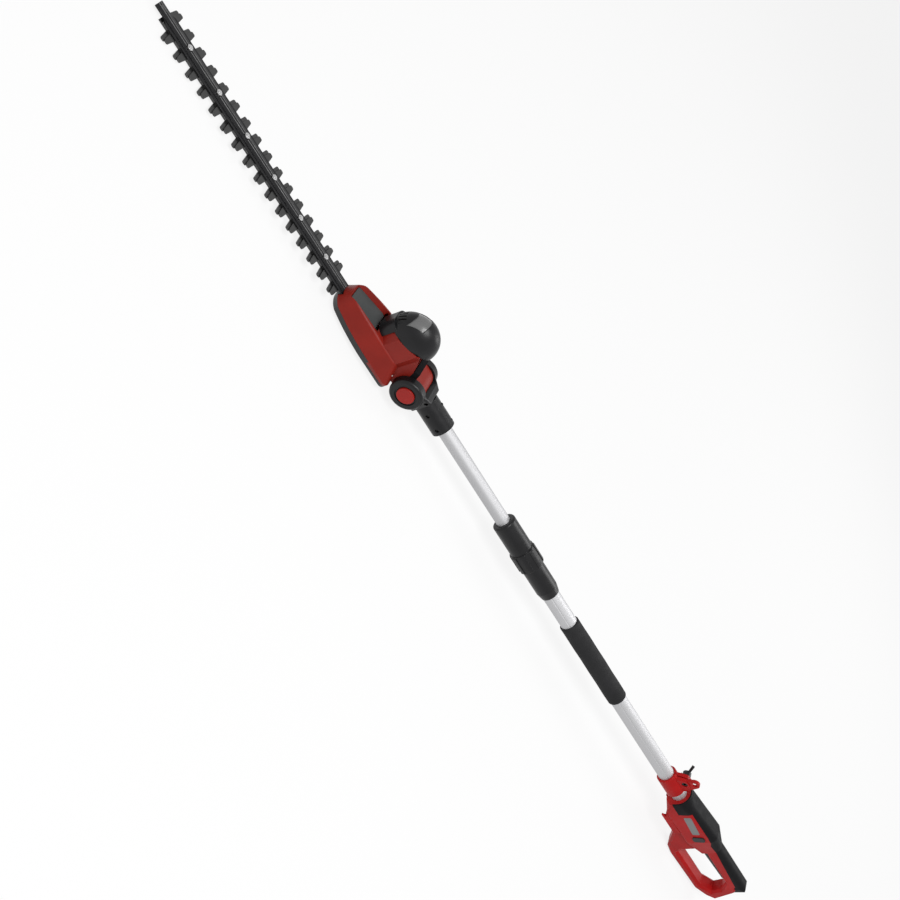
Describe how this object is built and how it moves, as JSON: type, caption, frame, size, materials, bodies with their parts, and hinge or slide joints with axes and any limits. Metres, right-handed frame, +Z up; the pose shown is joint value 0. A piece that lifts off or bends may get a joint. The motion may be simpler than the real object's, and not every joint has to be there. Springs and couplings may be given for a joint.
{
  "type": "telescopic pole hedge trimmer",
  "caption": "Cordless telescopic pole hedge trimmer with a tilting motor head, toothed sliding blades, twist-lock tubes, a foam grip and a closed rear hand loop; its battery dock is empty",
  "frame": {"origin": "on the floor, under the middle of the part's box, with the tool lying on its blade tip and its hand loop", "axes": "+X along the pole towards the blade tip, +Y to the left as the tool is held, +Z up"},
  "size_m": [1.8224, 0.076, 0.1281],
  "materials": {
    "head_red": "satin moulded",
    "button_red": "satin moulded",
    "handle_red": "satin moulded",
    "black_plastic": "fine grained",
    "soft_black": "soft-touch, lightly grained",
    "foam": "closed-cell foam",
    "panel_grey": "fine grained",
    "band_grey": "polished",
    "name_plate": "bare plate, no print",
    "blade_steel": "ground",
    "bar_black": "black coated",
    "bright_steel": "zinc plated",
    "black_steel": "blackened",
    "spring_steel": "drawn wire",
    "tube_alloy": "satin anodised",
    "cast_alloy": "die cast",
    "bush_bronze": "sintered",
    "board_green": "solder mask",
    "lead_rubber": "matt"
  },
  "bodies": {
    "rear": {"outer_tube": "tube_alloy", "collet": "black_plastic", "lock_collar": "black_plastic", "foam_grip": "foam", "strap_clamp": "handle_red", "clamp_bolt": "black_steel", "handle_left": "handle_red", "handle_right": "handle_red", "soft_grip": "soft_black", "name_plate": "name_plate", "battery_dock": "handle_red", "terminal_block": "black_plastic", "switch_body": "black_plastic", "control_board": "board_green", "handle_screws": "bright_steel", "trigger_pin": "bright_steel", "trigger_spring": "spring_steel", "lockoff_spring": "spring_steel", "power_lead": "lead_rubber"},
    "front_pole": {"yoke_left": "black_plastic", "yoke_right": "black_plastic", "yoke_screws": "black_steel", "hinge_pin": "bright_steel", "inner_tube": "tube_alloy", "tube_bush": "black_plastic"},
    "head": {"head_housing": "head_red", "base_plate": "black_plastic", "top_panel": "panel_grey", "motor_cap": "black_plastic", "cap_band": "band_grey", "seal_strip": "soft_black", "guide_bar": "bar_black", "blade_studs": "bright_steel", "bar_screws": "bright_steel", "gear_case": "cast_alloy", "motor": "bright_steel", "motor_screws": "bright_steel", "gear_bushes": "bush_bronze", "head_screws": "bright_steel", "release_spring": "spring_steel"},
    "release": {"release_button": "button_red", "lock_hub": "black_plastic"},
    "rotor": {"motor_pinion": "bright_steel"},
    "gear": {"drive_gear": "bright_steel"},
    "upper": {"upper_blade": "blade_steel"},
    "lower": {"lower_blade": "blade_steel"},
    "lock_ring": {"twist_nut": "black_plastic"},
    "wing": {"wing_nut": "black_plastic"},
    "trigger": {"trigger": "black_plastic"},
    "lockoff": {"lockoff_button": "black_plastic"}
  },
  "joints": [
    {"name": "pole_slide", "type": "slide", "parent": "rear", "child": "front_pole", "axis": [0.9993, 0, -0.0383], "range_m": [-0.165, 0.34], "deforming": ["power_lead"]},
    {"name": "head_tilt", "type": "hinge", "parent": "front_pole", "child": "head", "pos_m": [0.317, 0, 0.04201], "axis": [0, 1, 0], "range_deg": [-60, 75]},
    {"name": "release_press", "type": "slide", "parent": "front_pole", "child": "release", "axis": [0, -1, 0], "range_m": [0, 0.006], "stiffness_N_per_m": 1000, "springref_m": -0.004, "deforming": ["release_spring"]},
    {"name": "drive_gear_turn", "type": "hinge", "parent": "head", "child": "gear", "pos_m": [0.41445, 0, 0.02577], "axis": [0.0383, 0, 0.9993], "range_deg": [-126.02, 54.02]},
    {"name": "motor_spin", "type": "hinge", "parent": "head", "child": "rotor", "pos_m": [0.38447, 0, 0.02692], "axis": [0.0383, 0, 0.9993], "range_deg": [-270.1, 630.1]},
    {"name": "upper_blade_slide", "type": "slide", "parent": "head", "child": "upper", "axis": [0.9993, 0, -0.0383], "range_m": [-0.00375, 0.00875]},
    {"name": "lower_blade_slide", "type": "slide", "parent": "head", "child": "lower", "axis": [0.9993, 0, -0.0383], "range_m": [-0.00875, 0.00375]},
    {"name": "twist_lock", "type": "hinge", "parent": "rear", "child": "lock_ring", "pos_m": [-0.01276, 0, 0.05465], "axis": [0.9993, 0, -0.0383], "range_deg": [0, 90]},
    {"name": "wing_nut_turn", "type": "hinge", "parent": "rear", "child": "wing", "pos_m": [-0.58035, -0.013, 0.10241], "axis": [0, -1, 0], "continuous": true},
    {"name": "trigger_pull", "type": "hinge", "parent": "rear", "child": "trigger", "pos_m": [-0.84542, 0, 0.07955], "axis": [0, -1, 0], "range_deg": [0, 5], "stiffness_Nm_per_rad": 2, "springref_deg": -8.59, "deforming": ["trigger_spring"]},
    {"name": "lockoff_press", "type": "slide", "parent": "rear", "child": "lockoff", "axis": [0, -1, 0], "range_m": [0, 0.0035], "stiffness_N_per_m": 600, "springref_m": -0.004, "deforming": ["lockoff_spring"]}
  ],
  "couplings": [
    {"joint": "lower_blade_slide", "follows": "upper_blade_slide", "ratio": -1},
    {"joint": "drive_gear_turn", "follows": "upper_blade_slide", "rad_per_m": -251.33},
    {"joint": "motor_spin", "follows": "upper_blade_slide", "rad_per_m": 1256.6}
  ]
}
